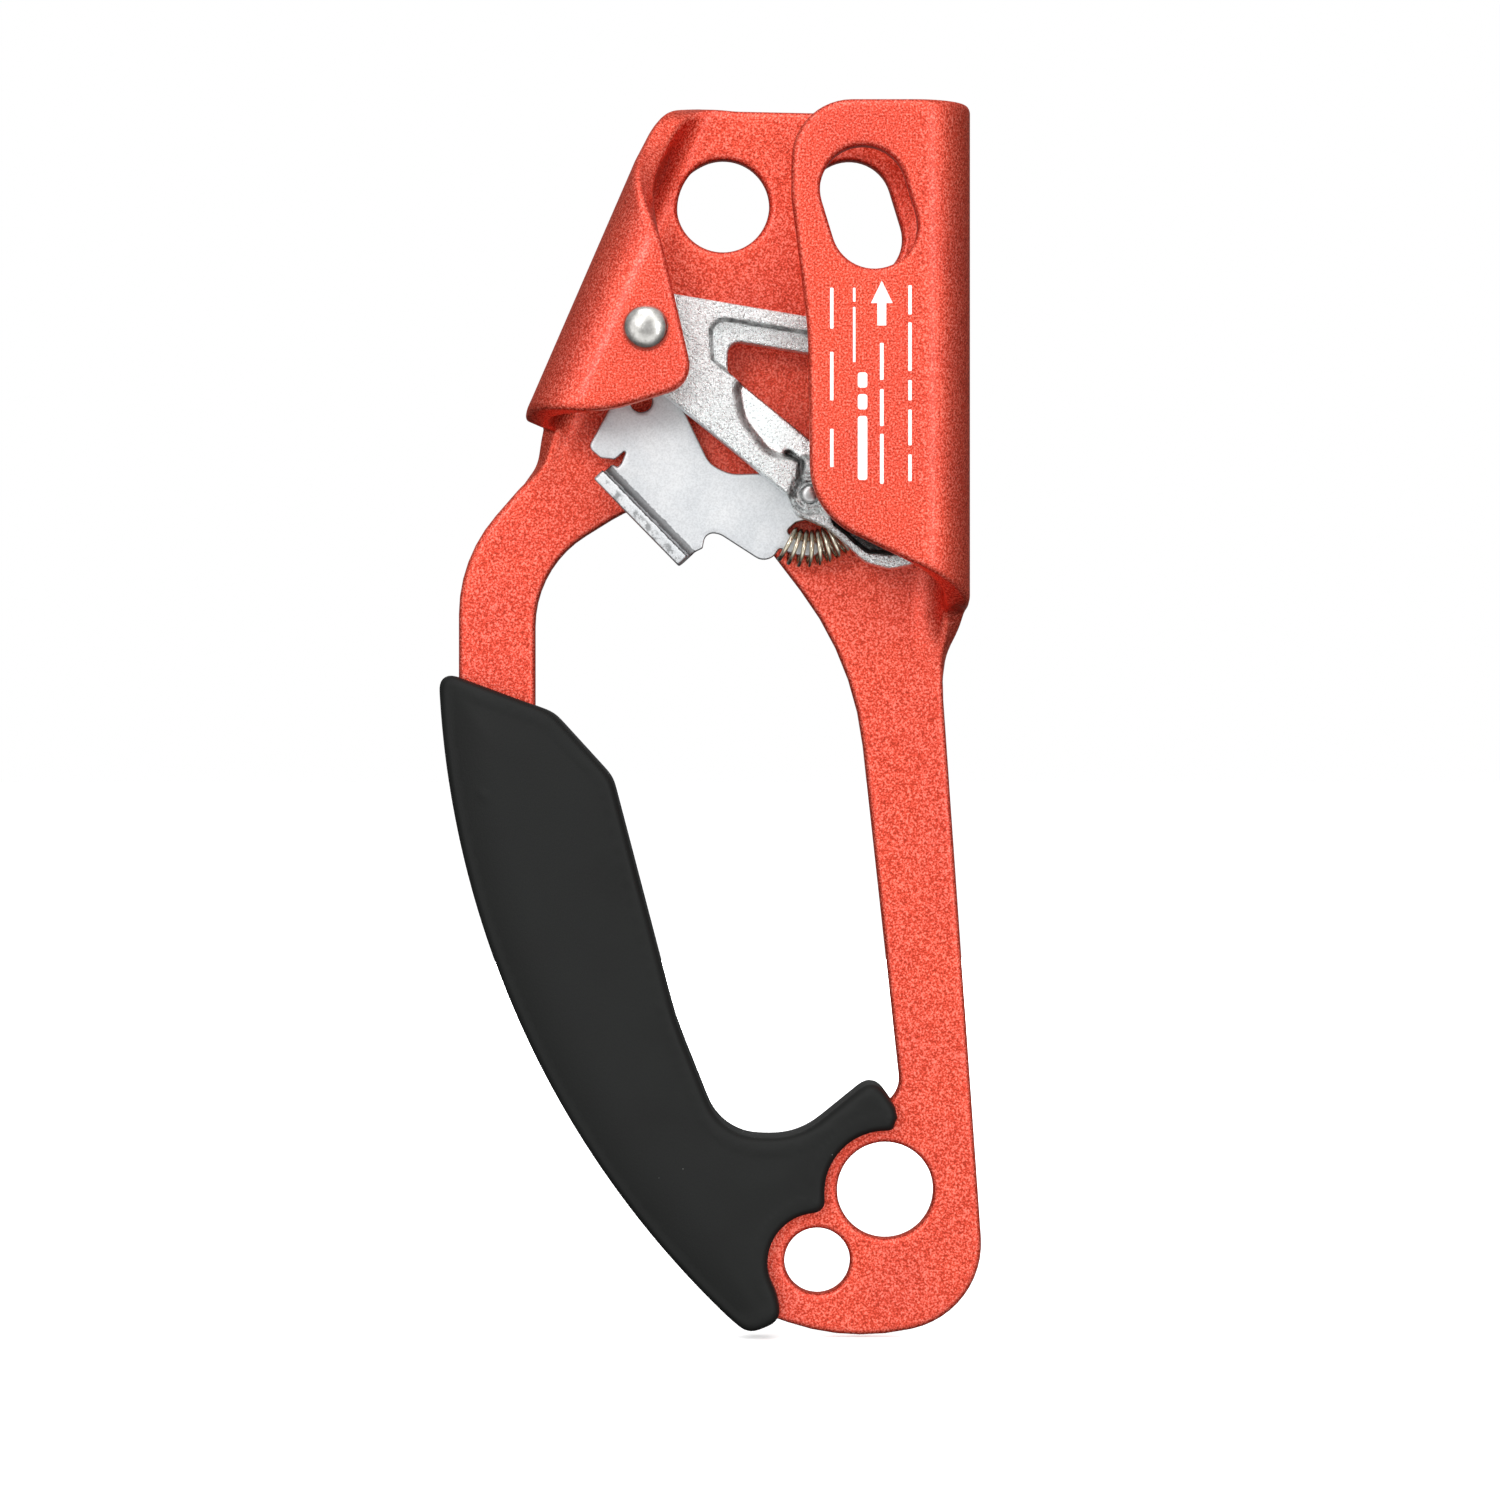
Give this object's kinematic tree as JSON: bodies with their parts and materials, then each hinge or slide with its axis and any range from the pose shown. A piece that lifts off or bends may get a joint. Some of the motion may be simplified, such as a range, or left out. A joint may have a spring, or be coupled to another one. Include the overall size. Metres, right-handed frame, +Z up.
{
  "type": "handled rope ascender",
  "caption": "Handled rope ascender: bent-sheet frame with hand ring, rope channel, toothed spring cam, thumb catch and rubber grip.",
  "frame": {"origin": "centre of the large lower attachment hole, half way through the back plate", "axes": "+Z up the rope, +X towards the rope channel, -Y out of the front"},
  "size_m": [0.0867, 0.0282, 0.1959],
  "materials": {
    "anodised_aluminium": "satin, bead blasted and anodised red",
    "grip_rubber": "matt moulded black rubber",
    "axle_steel": "dull stainless steel",
    "washer_steel": "zinc plated",
    "sleeve_steel": "turned steel",
    "thrust_steel": "zinc plated",
    "spring_steel": "spring steel wire",
    "cast_steel": "cast steel, bright plated, grainy",
    "catch_steel": "pressed steel, satin zinc plated",
    "rivet_steel": "steel",
    "catch_spring_steel": "spring steel wire, bronze tint"
  },
  "bodies": {
    "root": {"frame": "anodised_aluminium", "handle_grip": "grip_rubber", "cam_axle": "axle_steel", "cam_axle_washer": "washer_steel", "cam_sleeve": "sleeve_steel", "cam_thrust_washers": "thrust_steel"},
    "cam": {"cam": "cast_steel", "catch_rivet": "rivet_steel", "cam_spring": "spring_steel"},
    "catch": {"catch": "catch_steel", "catch_spring": "catch_spring_steel"}
  },
  "joints": [
    {"name": "cam_pivot", "type": "hinge", "parent": "root", "child": "cam", "pos_m": [-0.0379, -0.00875, 0.1364], "axis": [0, 1, 0], "range_deg": [0, 34], "stiffness_Nm_per_rad": 0.06, "springref_deg": -34.38, "deforming": ["cam_spring"]},
    {"name": "catch_pivot", "type": "hinge", "parent": "cam", "child": "catch", "pos_m": [-0.0122, -0.0056, 0.1108], "axis": [0, 1, 0], "range_deg": [-31, 0], "deforming": ["catch_spring"]}
  ],
  "couplings": [
    {"joint": "catch_pivot", "follows": "cam_pivot", "ratio": -0.9}
  ]
}
